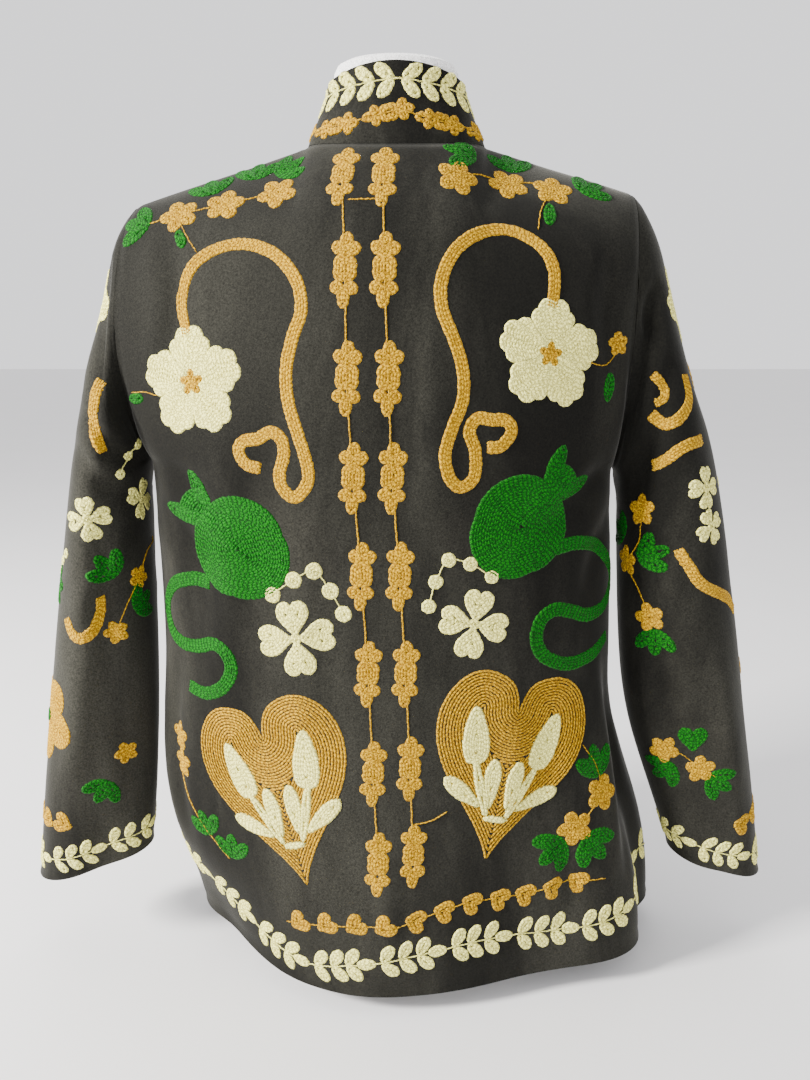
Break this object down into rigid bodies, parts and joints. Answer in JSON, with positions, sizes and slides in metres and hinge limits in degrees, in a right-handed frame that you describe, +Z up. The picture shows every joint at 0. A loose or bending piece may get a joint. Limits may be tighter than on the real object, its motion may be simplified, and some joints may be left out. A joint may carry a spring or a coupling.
{
  "type": "velvet kimono jacket on dress form",
  "caption": "Dark velvet kimono jacket with a stand collar, long sleeves and folk chain-stitch embroidery, worn open on a limbless white dress form.",
  "frame": {"origin": "on the surface that the form stands on, under the middle of the whole", "axes": "+Z up, the wearer faces -Y, the wearer's left is +X"},
  "size_m": [0.7496, 0.2664, 0.8526],
  "materials": {
    "velvet": "cotton velvet, short pile",
    "gold_thread": "chain-stitched cotton thread",
    "cream_thread": "chain-stitched cotton thread",
    "green_thread": "chain-stitched cotton thread",
    "form_shell": "smooth satin white shell"
  },
  "bodies": {
    "root": {"back": "velvet", "front_left": "velvet", "front_right": "velvet", "sleeve_left": "velvet", "sleeve_right": "velvet", "collar": "velvet", "dress_form": "form_shell"}
  },
  "joints": []
}
